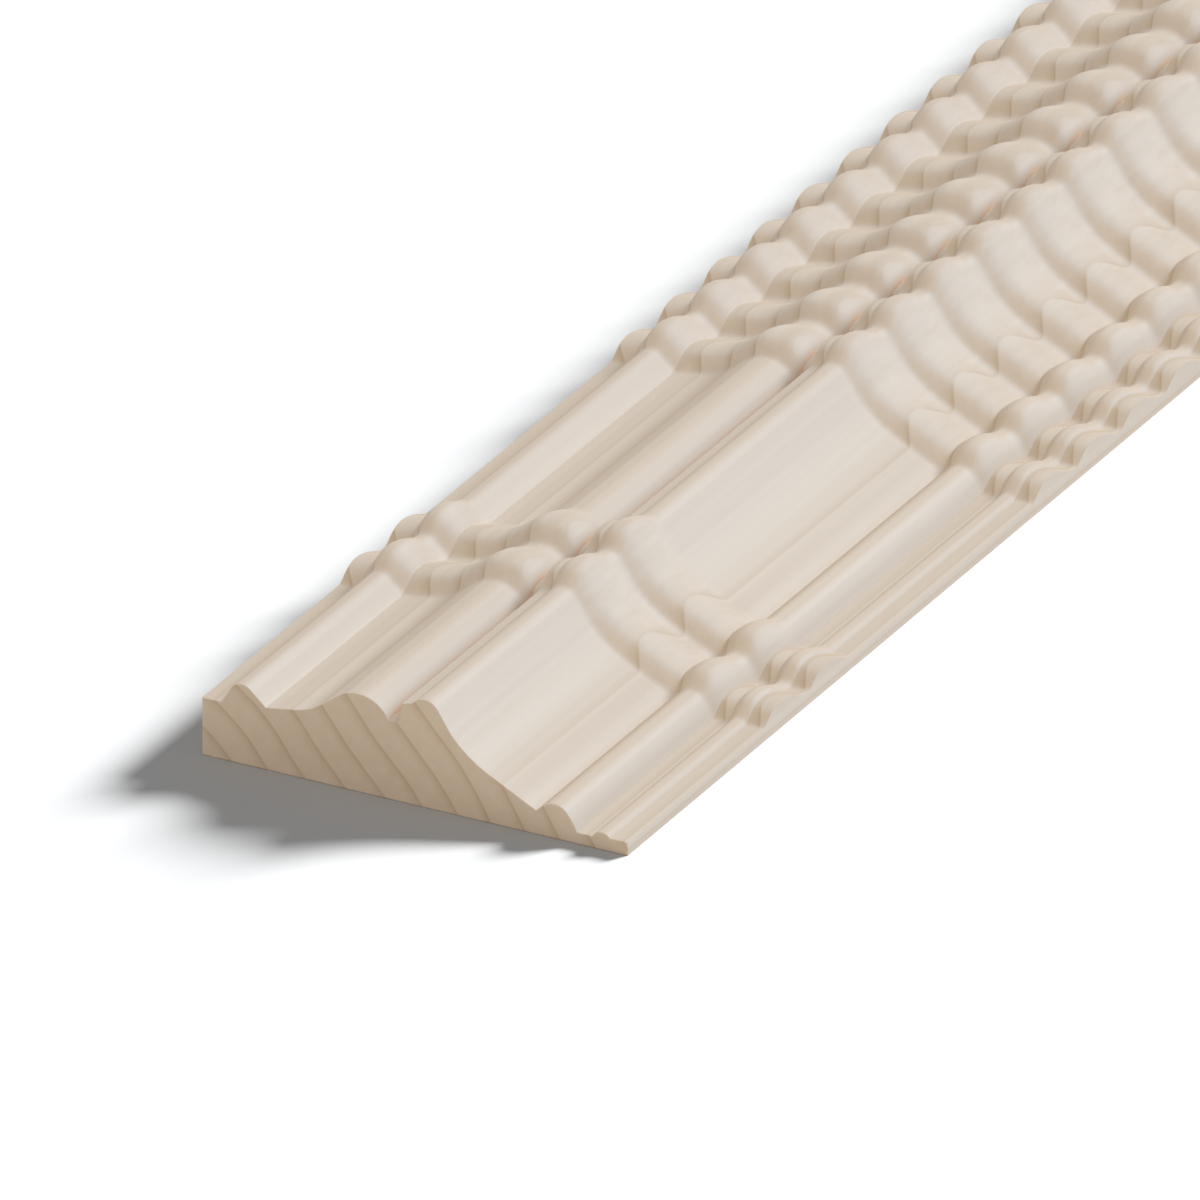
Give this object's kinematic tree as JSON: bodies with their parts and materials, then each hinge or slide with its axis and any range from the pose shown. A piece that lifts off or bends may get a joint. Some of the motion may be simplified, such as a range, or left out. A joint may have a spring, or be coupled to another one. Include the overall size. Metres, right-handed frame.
{
  "type": "ripple moulding",
  "caption": "Length of pale wooden ripple moulding: a beaded, ogee and cove section on a flat back, lifted along its length in raked ripples with plain stretches at the ends.",
  "frame": {"origin": "middle of the flat back face, in the plane that it rests on", "axes": "+X across the moulding towards its thin edge, +Y along its length away from the end seen in the picture, +Z out of the back face towards the moulded face"},
  "size_m": [0.1, 1, 0.028],
  "materials": {
    "pale_wood": "satin"
  },
  "bodies": {
    "root": {"ripple_moulding": "pale_wood"}
  },
  "joints": []
}
